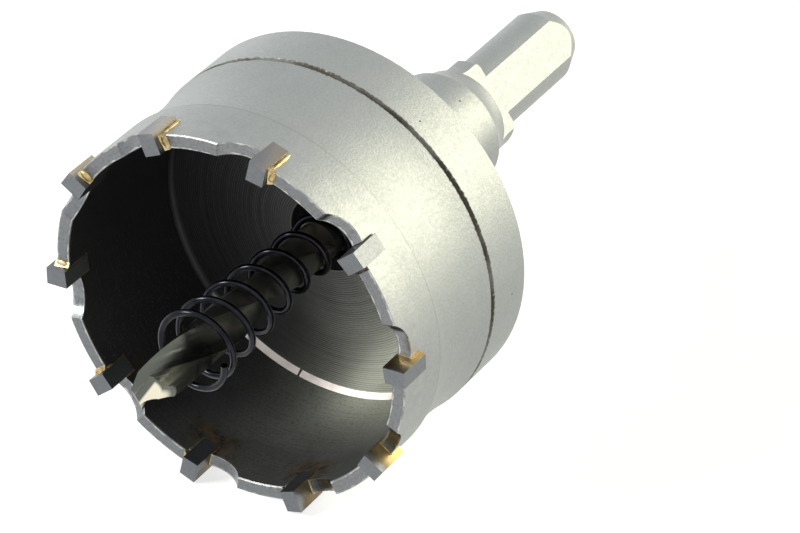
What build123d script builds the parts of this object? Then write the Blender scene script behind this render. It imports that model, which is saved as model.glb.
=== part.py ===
from build123d import *
import os
from math import acos, atan, atan2, cos, degrees, radians, sin, sqrt, tan

os.makedirs("parts", exist_ok=True)

# The saw is modelled standing on its axis: Z runs from the cutting rim, at zero, back to the
# shank. Angles are in degrees about that axis, and the saw turns towards smaller angles.
# LAY_DOWN then lays it on its side, with the shank towards +Y and two tips at the bottom.

# Cutter ring: a turned tube with a ground front band and a slightly waisted wall
CUT_DIAMETER = 60.0
TIP_OUTSIDE_STAND = 1.0
WALL = 2.15
BAND_LENGTH = 9.0
BAND_STEP = 0.2
WAIST_DEPTH = 0.6
RIM_BEVEL = 0.15
CUP_DEPTH = 24.9

# Joint between ring and head: the ring's spigot sits in the head's counterbore
SPIGOT_WALL = 1.15
SPIGOT_LENGTH = 2.3
SEAM_GROOVE_WIDTH = 0.9
SEAM_GROOVE_DEPTH = 0.45

# Teeth
TIP_COUNT = 10
TIP_WIDTH = 2.6
TIP_INSIDE_STAND = 0.3
TIP_STAND = 1.6
TIP_SEAT_DEPTH = 3.9
TIP_TOP_RELIEF = 3.0
TIP_SIDE_RELIEF = 2.5
BRAZE_GAP = 0.15
BRAZE_SKIN = 0.1
BEAD_LEG = 0.6
GULLET_RADIUS = 5.0
GULLET_DEPTH = 2.27
GULLET_LEAD = 3.3

# Head: flange, hub, collar and round shank in one piece, with three flats along collar and shank
HEAD_STAND = 0.1
FLANGE_THICKNESS = 6.3
FLANGE_ROUND = 0.1
HUB_DIAMETER = 18.8
HUB_LENGTH = 25.8
HUB_FILLET = 1.5
NECK_LENGTH = 5.8
NECK_DIP = 0.45
COLLAR_DIAMETER = 15.0
COLLAR_LENGTH = 2.5
COLLAR_ROUND = 0.7
SHANK_DIAMETER = 11.8
SHANK_LENGTH = 22.1
SHANK_CONE_LENGTH = 3.6
SHANK_CONE_ANGLE = 20.0
FLAT_COUNT = 3
FLAT_DEPTH = 0.9
FLAT_LEAD = 1.5
FLAT_ROLL = 87.0

# Pilot drill and its bore
DRILL_DIAMETER = 6.35
DRILL_REACH = 19.4
DRILL_POINT_ANGLE = 118.0
DRILL_SEAT_DEPTH = 13.5
DRILL_CLEARANCE = 0.03
BORE_DEPTH = 37.0
BORE_CONE_ANGLE = 118.0
FLUTE_LEAD = 60.0
FLUTE_RADIUS = 2.75
FLUTE_RUN = 44.0
FLUTE_ROLL = 57.5
WEB = 1.4
MARGIN_WIDTH = 0.6
LAND_RELIEF = 0.12
FLANK_WIDTH = 2.2
FLANK_RELIEF = 30.0
HEEL_RELIEF = 75.0

# Ejector spring: a coil round the drill, flared and closer at the front, with its back in a pocket
WIRE_DIAMETER = 1.0
SPRING_DRILL_GAP = 0.1
SPRING_FLARE = 1.9
SPRING_CONE_LENGTH = 23.5
SPRING_REACH = 9.5
SPRING_PITCH = 5.25
SPRING_END_PITCH = 2.4
SPRING_END_TURNS = 1.0
SPRING_ROLL = 2.0
POCKET_GAP = 1.6
POCKET_DEPTH = 4.0

# Set screw that holds the drill
SCREW_DIAMETER = 6.0
SCREW_RECESS = 0.675
SCREW_SOCKET_ACROSS_FLATS = 3.0
SCREW_SOCKET_DEPTH = 2.8
SCREW_POINT_CHAMFER = 0.6
SCREW_SET_BACK = 9.0
SCREW_ANGLE = -90.0
SCREW_SEAT_GAP = 0.05

# Ring of braze in the corner between the wall and the floor of the cup
CORNER_BRAZE_LEG = 0.75
CORNER_BRAZE_BREAK = 0.35
CORNER_BRAZE_BREAK_ANGLE = 105.0

# Radii worked out from the sizes above
RIM_RADIUS = CUT_DIAMETER / 2 - TIP_OUTSIDE_STAND
BORE_RADIUS = RIM_RADIUS - WALL
WAIST_RADIUS = RIM_RADIUS - WAIST_DEPTH
WALL_MIDDLE_RADIUS = (BORE_RADIUS + RIM_RADIUS) / 2
SPIGOT_RADIUS = BORE_RADIUS + SPIGOT_WALL
HEAD_RADIUS = RIM_RADIUS + HEAD_STAND
TIP_INNER_RADIUS = BORE_RADIUS - TIP_INSIDE_STAND
TIP_OUTER_RADIUS = sqrt((CUT_DIAMETER / 2) ** 2 - (TIP_WIDTH / 2) ** 2)
HUB_RADIUS = HUB_DIAMETER / 2
SHANK_RADIUS = SHANK_DIAMETER / 2
DRILL_RADIUS = DRILL_DIAMETER / 2
WIRE_RADIUS = WIRE_DIAMETER / 2
SPRING_BACK_RADIUS = DRILL_RADIUS + SPRING_DRILL_GAP + WIRE_RADIUS
SPRING_FRONT_RADIUS = SPRING_BACK_RADIUS + SPRING_FLARE
POCKET_RADIUS = SPRING_BACK_RADIUS + WIRE_RADIUS + POCKET_GAP
SCREW_POINT_RADIUS = DRILL_RADIUS + SCREW_SEAT_GAP
SCREW_LENGTH = HUB_RADIUS - SCREW_RECESS - SCREW_POINT_RADIUS

# Places along the axis, worked out from the sizes above
FLOOR_PLACE = CUP_DEPTH
SEAM_PLACE = FLOOR_PLACE - SPIGOT_LENGTH
POCKET_FLOOR_PLACE = FLOOR_PLACE + POCKET_DEPTH
BORE_END_PLACE = FLOOR_PLACE + BORE_DEPTH
FLANGE_BACK_PLACE = FLOOR_PLACE + FLANGE_THICKNESS
HUB_END_PLACE = FLANGE_BACK_PLACE + HUB_LENGTH
COLLAR_START_PLACE = HUB_END_PLACE + NECK_LENGTH
FLAT_START_PLACE = COLLAR_START_PLACE - FLAT_LEAD
SHANK_START_PLACE = COLLAR_START_PLACE + COLLAR_LENGTH
SHANK_END_PLACE = SHANK_START_PLACE + SHANK_LENGTH
DRILL_POINT_LENGTH = DRILL_RADIUS / tan(radians(DRILL_POINT_ANGLE / 2))
DRILL_FRONT_PLACE = -DRILL_REACH - DRILL_POINT_LENGTH
DRILL_BACK_PLACE = FLANGE_BACK_PLACE + DRILL_SEAT_DEPTH
SCREW_PLACE = FLANGE_BACK_PLACE + SCREW_SET_BACK

TIP_PITCH_ANGLE = 360 / TIP_COUNT
BASE_DOWN = (Align.CENTER, Align.CENTER, Align.MIN)
CUTTER_LENGTH = 3 * WALL
MIDDLE_PLACE = (DRILL_FRONT_PLACE + SHANK_END_PLACE) / 2
LAY_DOWN = Pos(0, -MIDDLE_PLACE, HEAD_RADIUS) * Rotation(-90, 0, 0)


def polar(radius, angle, place=0.0):
    """Point at a radius and angle about the axis, at a place along it."""
    return Vector(radius * cos(radians(angle)), radius * sin(radians(angle)), place)


def radial_plane(radius, angle, place):
    """Plane with its X outwards, its Y round the axis and its Z along the axis."""
    return Plane(polar(radius, angle, place), x_dir=polar(1, angle), z_dir=(0, 0, 1))


def spoke_plane(radius, angle, place):
    """Plane square to a spoke, with its Z outwards."""
    return Plane(polar(radius, angle, place), x_dir=(0, 0, 1), z_dir=polar(1, angle))


def turned(*edges):
    """Solid of revolution from a closed outline of radius and place."""
    outline = Plane.XZ * make_face(edges)
    return revolve(outline, Axis.Z)


def tip_angle(index):
    """Angle of a tooth's middle."""
    return index * TIP_PITCH_ANGLE


def gullet_cutter(angle):
    """Round cutter that mills the gullet ahead of the tooth at an angle."""
    lead_angle = degrees(GULLET_LEAD / RIM_RADIUS)
    place = GULLET_DEPTH - GULLET_RADIUS
    plane = spoke_plane(WALL_MIDDLE_RADIUS, angle - lead_angle, place)
    return plane * Cylinder(GULLET_RADIUS, CUTTER_LENGTH)


def pocket_block(angle, inner, outer, front):
    """Block as wide and deep as a tip's pocket, between two radii."""
    back = TIP_SEAT_DEPTH + BRAZE_GAP
    plane = radial_plane((inner + outer) / 2, angle, (front + back) / 2)
    return plane * Box(outer - inner, TIP_WIDTH + 2 * BRAZE_GAP, back - front)


def cutter_ring():
    """Turned tube with gullets and tip pockets milled into its rim."""
    bore, rim, spigot = BORE_RADIUS, RIM_RADIUS, SPIGOT_RADIUS
    band_back = rim - BAND_STEP
    shoulder = HEAD_RADIUS - SEAM_GROOVE_DEPTH
    groove_front = SEAM_PLACE - SEAM_GROOVE_WIDTH / 2
    waist_place = (BAND_LENGTH + groove_front) / 2
    ring = turned(
        Polyline((bore, RIM_BEVEL), (bore + RIM_BEVEL, 0), (rim - RIM_BEVEL, 0), (rim, RIM_BEVEL),
                 (rim, BAND_LENGTH), (band_back, BAND_LENGTH)),
        ThreePointArc((band_back, BAND_LENGTH), (WAIST_RADIUS, waist_place), (HEAD_RADIUS, groove_front)),
        Polyline((HEAD_RADIUS, groove_front), (shoulder, SEAM_PLACE), (spigot, SEAM_PLACE),
                 (spigot, FLOOR_PLACE), (bore, FLOOR_PLACE), (bore, RIM_BEVEL)),
    )
    for index in range(TIP_COUNT):
        angle = tip_angle(index)
        ring -= gullet_cutter(angle)
        ring -= pocket_block(angle, bore - CUTTER_LENGTH / 2, rim + CUTTER_LENGTH / 2, -TIP_STAND)
    return ring


def carbide_tip(angle):
    """Carbide block, widest and tallest at its leading edge."""
    half = TIP_WIDTH / 2
    taper = TIP_WIDTH * tan(radians(TIP_SIDE_RELIEF))
    drop = TIP_WIDTH * tan(radians(TIP_TOP_RELIEF))
    inner, outer = TIP_INNER_RADIUS, TIP_OUTER_RADIUS
    plan = Polyline((inner, -half), (outer, -half), (outer - taper, half), (inner + taper, half), close=True)
    side = Polyline((-half, -TIP_STAND), (half, drop - TIP_STAND), (half, TIP_SEAT_DEPTH),
                    (-half, TIP_SEAT_DEPTH), close=True)
    block = extrude(radial_plane(0, angle, -TIP_STAND) * make_face(plan), TIP_STAND + TIP_SEAT_DEPTH)
    wedge_plane = Plane(polar(0, angle), x_dir=polar(1, angle + 90), z_dir=polar(1, angle))
    wedge = extrude(wedge_plane * make_face(side), outer)
    return block & wedge


def tip_braze(angle):
    """Braze that fills a tip's pocket and stands as a bead behind the tip."""
    inner, outer = BORE_RADIUS - BRAZE_SKIN, RIM_RADIUS + BRAZE_SKIN
    filler = pocket_block(angle, inner, outer, 0)
    half = TIP_WIDTH / 2
    foot = half + BRAZE_GAP
    bead_outline = Polyline((half, 0), (half, -BEAD_LEG), (foot + BEAD_LEG, 0), close=True)
    bead_plane = Plane(polar(inner, angle), x_dir=polar(1, angle + 90), z_dir=polar(1, angle))
    bead = extrude(bead_plane * make_face(bead_outline), outer - inner)
    return filler + bead - carbide_tip(angle) - gullet_cutter(angle)


def head_body():
    """Flange, hub and neck turned in one piece, without the collar and shank."""
    spigot, head, hub, collar = SPIGOT_RADIUS, HEAD_RADIUS, HUB_RADIUS, COLLAR_DIAMETER / 2
    back = FLANGE_BACK_PLACE
    groove_back = SEAM_PLACE + SEAM_GROOVE_WIDTH / 2
    round_turn = FLANGE_ROUND * (1 - 1 / sqrt(2))
    fillet_turn = HUB_FILLET * (1 - 1 / sqrt(2))
    neck_place = (HUB_END_PLACE + COLLAR_START_PLACE) / 2
    neck = (hub + collar) / 2 - NECK_DIP
    return turned(
        Polyline((0, COLLAR_START_PLACE), (0, FLOOR_PLACE), (spigot, FLOOR_PLACE), (spigot, SEAM_PLACE),
                 (head - SEAM_GROOVE_DEPTH, SEAM_PLACE), (head, groove_back), (head, back - FLANGE_ROUND)),
        ThreePointArc((head, back - FLANGE_ROUND), (head - round_turn, back - round_turn),
                      (head - FLANGE_ROUND, back)),
        Line((head - FLANGE_ROUND, back), (hub + HUB_FILLET, back)),
        ThreePointArc((hub + HUB_FILLET, back), (hub + fillet_turn, back + fillet_turn),
                      (hub, back + HUB_FILLET)),
        Line((hub, back + HUB_FILLET), (hub, HUB_END_PLACE)),
        ThreePointArc((hub, HUB_END_PLACE), (neck, neck_place), (collar, COLLAR_START_PLACE)),
        Line((collar, COLLAR_START_PLACE), (0, COLLAR_START_PLACE)),
    )


def drill_hole():
    """Stepped cutter for the spring's pocket and the drill's bore, with a coned end."""
    bore, pocket = DRILL_RADIUS + DRILL_CLEARANCE, POCKET_RADIUS
    bore_point = BORE_END_PLACE + bore / tan(radians(BORE_CONE_ANGLE / 2))
    return turned(
        Polyline((0, FLOOR_PLACE), (pocket, FLOOR_PLACE), (pocket, POCKET_FLOOR_PLACE),
                 (bore, POCKET_FLOOR_PLACE), (bore, BORE_END_PLACE), (0, bore_point), close=True),
    )


def collar():
    """Turned collar between the neck and the shank."""
    disc = Cylinder(COLLAR_DIAMETER / 2, COLLAR_LENGTH, align=BASE_DOWN)
    disc = fillet(disc.edges().group_by(Axis.Z)[-1], COLLAR_ROUND)
    return Pos(0, 0, COLLAR_START_PLACE) * disc


def flat_angle(index):
    """Angle that a flat of the shank faces."""
    return FLAT_ROLL + index * 360 / FLAT_COUNT


def flat_cutter(index):
    """Cutter for one flat, which runs along the collar and the whole shank."""
    plane = radial_plane(SHANK_RADIUS - FLAT_DEPTH, flat_angle(index), FLAT_START_PLACE)
    length = SHANK_END_PLACE - FLAT_START_PLACE
    return plane * Box(HUB_DIAMETER, HUB_DIAMETER, length, align=(Align.MIN, Align.CENTER, Align.MIN))


def shank():
    """Round shank with its end turned to a cone."""
    end_radius = SHANK_RADIUS - SHANK_CONE_LENGTH * tan(radians(SHANK_CONE_ANGLE))
    return turned(
        Polyline((0, COLLAR_START_PLACE), (SHANK_RADIUS, COLLAR_START_PLACE),
                 (SHANK_RADIUS, SHANK_END_PLACE - SHANK_CONE_LENGTH), (end_radius, SHANK_END_PLACE),
                 (0, SHANK_END_PLACE), close=True),
    )


def head():
    """Head with its shank, the drill's bore and the tapped hole for the set screw."""
    hole_plane = spoke_plane(0, SCREW_ANGLE, SCREW_PLACE)
    screw_hole = hole_plane * Cylinder(SCREW_DIAMETER / 2, HUB_DIAMETER, align=BASE_DOWN)
    body = head_body() + collar() + shank() - drill_hole() - screw_hole
    for index in range(FLAT_COUNT):
        body -= flat_cutter(index)
    return body


def corner_braze():
    """Bright ring of braze in the corner of the cup, with one short break."""
    outer, floor, leg = BORE_RADIUS, FLOOR_PLACE, CORNER_BRAZE_LEG
    ring = turned(Polyline((outer, floor), (outer - leg, floor), (outer, floor - leg), close=True))
    plane = radial_plane(outer, CORNER_BRAZE_BREAK_ANGLE, floor)
    return ring - plane * Box(3 * leg, CORNER_BRAZE_BREAK, 3 * leg)


def flute_centre():
    """Distance of a flute's round section from the axis."""
    return WEB / 2 + FLUTE_RADIUS


def flute_half_angle():
    """Half of the angle that a flute opens at the drill's outside."""
    reach, offset = DRILL_RADIUS, flute_centre()
    return degrees(acos((reach ** 2 + offset ** 2 - FLUTE_RADIUS ** 2) / (2 * reach * offset)))


def drill_section():
    """Section across the flutes: a relieved round with two margins and two flutes."""
    section = Circle(DRILL_RADIUS - LAND_RELIEF)
    margin_angle = flute_half_angle() + degrees(MARGIN_WIDTH / 2 / DRILL_RADIUS)
    strip = Pos(DRILL_RADIUS / 2, 0) * Rectangle(DRILL_RADIUS, MARGIN_WIDTH) & Circle(DRILL_RADIUS)
    flute = Pos(flute_centre(), 0) * Circle(FLUTE_RADIUS)
    for side in (0, 180):
        section += Rot(0, 0, side + margin_angle) * strip
    for side in (0, 180):
        section -= Rot(0, 0, side) * flute
    return section.face()


def flank_cutter(lip, start, relief):
    """Cutter that grinds one face of the point, from a distance behind the lip and at a relief angle."""
    along, behind = polar(1, lip), polar(1, lip + 90)
    normal = Vector(0, 0, 1) - along * (DRILL_POINT_LENGTH / DRILL_RADIUS) - behind * tan(radians(relief))
    place = DRILL_FRONT_PLACE + start * tan(radians(FLANK_RELIEF))
    plane = Plane(behind * start + Vector(0, 0, place), x_dir=along.cross(normal), z_dir=normal)
    size = 4 * DRILL_DIAMETER
    return plane * Box(size, size, size, align=(Align.CENTER, Align.CENTER, Align.MAX))


def pilot_drill():
    """Twist drill with a point of four ground faces and a plain shank."""
    front = DRILL_FRONT_PLACE
    rate = 360 / FLUTE_LEAD
    roll = FLUTE_ROLL - DRILL_POINT_LENGTH * rate
    run = (0, 0, FLUTE_RUN)
    fluted = Solid.extrude_linear_with_rotation(drill_section(), (0, 0, 0), run, FLUTE_RUN * rate)
    drill = Pos(0, 0, front) * Rot(0, 0, roll) * fluted
    for side in (0, 180):
        lip = FLUTE_ROLL + flute_half_angle() + side
        drill -= flank_cutter(lip, 0, FLANK_RELIEF)
        drill -= flank_cutter(lip, FLANK_WIDTH, HEEL_RELIEF)
    plain = Cylinder(DRILL_RADIUS, DRILL_BACK_PLACE - front - FLUTE_RUN, align=BASE_DOWN)
    return drill + Pos(0, 0, front + FLUTE_RUN) * plain


def ejector_spring():
    """Coil spring, flared towards its closer front coil, straight where it enters the pocket."""
    front, back = SPRING_FRONT_RADIUS, SPRING_BACK_RADIUS
    length = SPRING_REACH + POCKET_FLOOR_PLACE - WIRE_DIAMETER
    end_length = SPRING_END_PITCH * SPRING_END_TURNS
    narrowing = SPRING_FLARE / SPRING_CONE_LENGTH
    cone = -degrees(atan(narrowing))
    coned_length = SPRING_CONE_LENGTH - end_length
    coils = [
        Helix(SPRING_END_PITCH, end_length, front, cone_angle=cone),
        Helix(SPRING_PITCH, coned_length, front - narrowing * end_length, cone_angle=cone),
        Helix(SPRING_PITCH, length - SPRING_CONE_LENGTH, back),
    ]
    runs = []
    place = turn = 0
    for coil in coils:
        runs.append(Pos(0, 0, place) * Rot(0, 0, turn) * coil)
        end = coil @ 1
        place += end.Z
        turn += degrees(atan2(end.Y, end.X))
    path = Wire(runs)
    start = Plane(path @ 0, z_dir=path % 0)
    wire = sweep(start * Circle(WIRE_RADIUS), path, is_frenet=True)
    return Pos(0, 0, WIRE_RADIUS - SPRING_REACH) * Rot(0, 0, SPRING_ROLL) * wire


def set_screw():
    """Flat-point set screw with a hexagon socket."""
    body = Cylinder(SCREW_DIAMETER / 2, SCREW_LENGTH, align=BASE_DOWN)
    body = chamfer(body.edges().group_by(Axis.Z)[0], SCREW_POINT_CHAMFER)
    socket = extrude(RegularPolygon(SCREW_SOCKET_ACROSS_FLATS / sqrt(3), 6), SCREW_SOCKET_DEPTH)
    body -= Pos(0, 0, SCREW_LENGTH - SCREW_SOCKET_DEPTH) * socket
    return spoke_plane(SCREW_POINT_RADIUS, SCREW_ANGLE, SCREW_PLACE) * body


def write(name, shape):
    """Write one piece, laid on its side, to its own file."""
    export_step(LAY_DOWN * shape, f"parts/{name}.step")


write("cutter_ring", cutter_ring())
write("head", head())
write("corner_braze", corner_braze())
write("pilot_drill", pilot_drill())
write("ejector_spring", ejector_spring())
write("set_screw", set_screw())
for number in range(TIP_COUNT):
    write(f"carbide_tip_{number + 1:02d}", carbide_tip(tip_angle(number)))
    write(f"tip_braze_{number + 1:02d}", tip_braze(tip_angle(number)))
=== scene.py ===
import logging
from dataclasses import dataclass
from enum import Enum
from math import cos, pi, radians, sin
from typing import Dict, Optional, Sequence, Tuple, Union

import bmesh
import bpy
from bpy.types import Material, Node, NodeSocket, Object, World
from mathutils import Matrix, Vector, noise


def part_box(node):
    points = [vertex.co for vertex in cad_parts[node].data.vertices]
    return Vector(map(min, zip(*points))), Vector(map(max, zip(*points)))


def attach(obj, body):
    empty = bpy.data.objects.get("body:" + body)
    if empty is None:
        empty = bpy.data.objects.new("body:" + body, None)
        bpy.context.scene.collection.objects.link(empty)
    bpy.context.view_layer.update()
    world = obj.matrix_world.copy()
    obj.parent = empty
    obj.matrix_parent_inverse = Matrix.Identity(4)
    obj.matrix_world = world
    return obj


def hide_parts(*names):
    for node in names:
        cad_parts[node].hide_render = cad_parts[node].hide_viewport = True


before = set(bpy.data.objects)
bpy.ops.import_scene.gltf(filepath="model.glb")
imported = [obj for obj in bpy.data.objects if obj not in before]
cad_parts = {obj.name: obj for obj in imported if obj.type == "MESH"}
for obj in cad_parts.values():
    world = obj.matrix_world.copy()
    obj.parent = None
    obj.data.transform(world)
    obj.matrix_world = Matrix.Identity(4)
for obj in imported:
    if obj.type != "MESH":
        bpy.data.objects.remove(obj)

logging.basicConfig(level=logging.INFO, format="%(message)s")
LOG = logging.getLogger("hole_saw")

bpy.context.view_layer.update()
BODY = "root"
MM = 0.001
TIP_COUNT = 10
TOOTH_ANGLE = 2 * pi / TIP_COUNT
MIDDLE = 0.5
LINE_DETAIL = 2.0
CURVE_START, LINEAR_SLOPE, CURVE_SHIFT, CURVE_POWER = 0.04045, 12.92, 0.055, 2.4

Colour = Tuple[float, float, float]
Point = Tuple[float, float, float]
Pair = Tuple[float, float]
Number = Union["Signal", float]
Feed = Union["Signal", NodeSocket, float, Sequence[float]]
Key = Union[str, int]


def display(*shown: float) -> Colour:
    """Turn a colour as a screen shows it into the linear colour that a shader takes.

    Args:
        shown: Red, green and blue as shown, from 0 to 1.

    Returns:
        The same colour as linear red, green and blue.
    """
    return tuple(value / LINEAR_SLOPE if value <= CURVE_START
                 else ((value + CURVE_SHIFT) / (1.0 + CURVE_SHIFT)) ** CURVE_POWER
                 for value in shown)


class Ends(Enum):
    """How a step starts and ends."""

    SOFT = "SMOOTHSTEP"
    SHARP = "LINEAR"


class CupFace(Enum):
    """A face inside the cup that carries turning marks."""

    WALL = "wall"
    FLOOR = "floor"


@dataclass(frozen=True)
class Step:
    """Values where a smooth step is 0 and where it is 1. It steps down if high is below low."""

    low: float
    high: float

    def at(self, place: float) -> "Step":
        """Move the step by a distance."""
        return Step(self.low + place, self.high + place)


@dataclass(frozen=True)
class Grain:
    """Noise of one grain size in millimetres, with its finer layers and its distortion."""

    size: float
    detail: float = 3.0
    warp: float = 0.0


WANDER = Grain(4.0)


@dataclass(frozen=True)
class Surface:
    """How a finish reflects: its metal, its roughness and swing, and its relief in millimetres."""

    metallic: float
    roughness: float
    swing: float
    relief: float


@dataclass(frozen=True)
class SawPlaces:
    """Places and radii of the saw, in millimetres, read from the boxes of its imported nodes."""

    axis_height: float
    rim: float
    cup_depth: float
    bore_radius: float
    rim_radius: float
    drill_front: float
    seam: float

    @classmethod
    def read(cls) -> "SawPlaces":
        """Read the places from the boxes of the imported nodes.

        Returns:
            The places of this saw.
        """
        ring_low, ring_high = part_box("cutter_ring")
        braze_low, braze_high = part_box("corner_braze")
        drill_low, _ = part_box("pilot_drill")
        head_low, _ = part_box("head")
        return cls(
            axis_height=(ring_low.z + ring_high.z) / 2 / MM,
            rim=ring_low.y / MM,
            cup_depth=(ring_high.y - ring_low.y) / MM,
            bore_radius=(braze_high.x - braze_low.x) / 2 / MM,
            rim_radius=(ring_high.x - ring_low.x) / 2 / MM,
            drill_front=(drill_low.y - ring_low.y) / MM,
            seam=(head_low.y - ring_low.y) / MM,
        )


class Signal:
    """A number inside a shader that takes part in Python expressions."""

    def __init__(self, sheet: "NodeSheet", socket: NodeSocket) -> None:
        """Wrap an output socket of a sheet's node."""
        self.sheet = sheet
        self.socket = socket

    def _math(self, operation: str, *values: Number) -> "Signal":
        """Add one Math node and return its result."""
        return self.sheet.value("ShaderNodeMath", {"operation": operation}, dict(enumerate(values)))

    def __add__(self, other: Number) -> "Signal":
        """Add."""
        return self._math("ADD", self, other)

    __radd__ = __add__

    def __sub__(self, other: Number) -> "Signal":
        """Subtract another value from this one."""
        return self._math("SUBTRACT", self, other)

    def __rsub__(self, other: Number) -> "Signal":
        """Subtract this value from another one."""
        return self._math("SUBTRACT", other, self)

    def __mul__(self, other: Number) -> "Signal":
        """Multiply."""
        return self._math("MULTIPLY", self, other)

    __rmul__ = __mul__

    def __truediv__(self, other: Number) -> "Signal":
        """Divide this value by another one."""
        return self._math("DIVIDE", self, other)

    def __pow__(self, other: Number) -> "Signal":
        """Raise this value to a power."""
        return self._math("POWER", self, other)

    def larger(self, other: Number) -> "Signal":
        """Larger of two values."""
        return self._math("MAXIMUM", self, other)

    def size(self) -> "Signal":
        """Value without its sign."""
        return self._math("ABSOLUTE", self)

    def fraction(self) -> "Signal":
        """Part of the value after the decimal point."""
        return self._math("FRACT", self)

    def turn_from(self, across: Number) -> "Signal":
        """Angle in radians of the point with this height and that distance across."""
        return self._math("ARCTAN2", self, across)

    def swing(self, amount: float) -> "Signal":
        """Noise turned into a value about 0, up to half the amount each way."""
        return (self - MIDDLE) * amount

    def rise(self, step: Step, ends: Ends = Ends.SOFT) -> "Signal":
        """Step from 0 to 1, held at 0 before it and at 1 after it.

        Args:
            step: Values where the step is 0 and where it is 1.
            ends: How it starts and ends.

        Returns:
            The step, from 0 to 1.
        """
        sockets = {"Value": self, "From Min": step.low, "From Max": step.high}
        settings = {"interpolation_type": ends.value}
        return self.sheet.value("ShaderNodeMapRange", settings, sockets)


class NodeSheet:
    """The nodes of one material or world under construction."""

    def __init__(self, owner: Union[Material, World]) -> None:
        """Start with no nodes.

        Args:
            owner: The material or world that the nodes belong to.
        """
        owner.use_nodes = True
        self.owner = owner
        self.tree = owner.node_tree
        self.tree.nodes.clear()

    def node(self, kind: str, settings: Optional[Dict[str, object]] = None,
             sockets: Optional[Dict[Key, Feed]] = None) -> Node:
        """Add a node of any type.

        Args:
            kind: The node's type.
            settings: Its settings, which are set first.
            sockets: Values or links of its sockets, by identifier, name or number.

        Returns:
            The new node.
        """
        made = self.tree.nodes.new(kind)
        for name, value in (settings or {}).items():
            setattr(made, name, value)
        inputs = {socket.identifier: socket for socket in made.inputs}
        for name, value in (sockets or {}).items():
            self._feed(inputs[name] if name in inputs else made.inputs[name], value)
        return made

    def value(self, kind: str, settings: Dict[str, object], sockets: Dict[Key, Feed],
              output: Key = 0) -> Signal:
        """Add a node and take the number from one of its outputs."""
        return Signal(self, self.node(kind, settings, sockets).outputs[output])

    def _feed(self, socket: NodeSocket, value: Feed) -> None:
        """Link a socket or set its value.

        Args:
            socket: The input.
            value: What it gets.
        """
        if isinstance(value, Signal):
            value = value.socket
        if isinstance(value, NodeSocket):
            self.tree.links.new(value, socket)
        else:
            socket.default_value = (*value[:3], 1.0) if socket.type == "RGBA" else value

    def seen(self) -> Signal:
        """Share that is 1 for rays from the camera, a mirror or glass, and 0 for other light.

        Returns:
            The share.
        """
        rays = self.node("ShaderNodeLightPath")
        camera, mirror, glass = (Signal(self, rays.outputs[name]) for name in (
            "Is Camera Ray", "Is Glossy Ray", "Is Transmission Ray"))
        return camera.larger(mirror).larger(glass)

    def close(self, shader: str, output: str, sockets: Dict[Key, Feed]) -> None:
        """Add the shader and join it to the output.

        Args:
            shader: The shader node's type.
            output: The output node's type.
            sockets: Values or links of the shader's sockets.
        """
        surface = self.node(shader, {}, sockets)
        self.node(output, {}, {"Surface": surface.outputs[0]})


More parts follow.
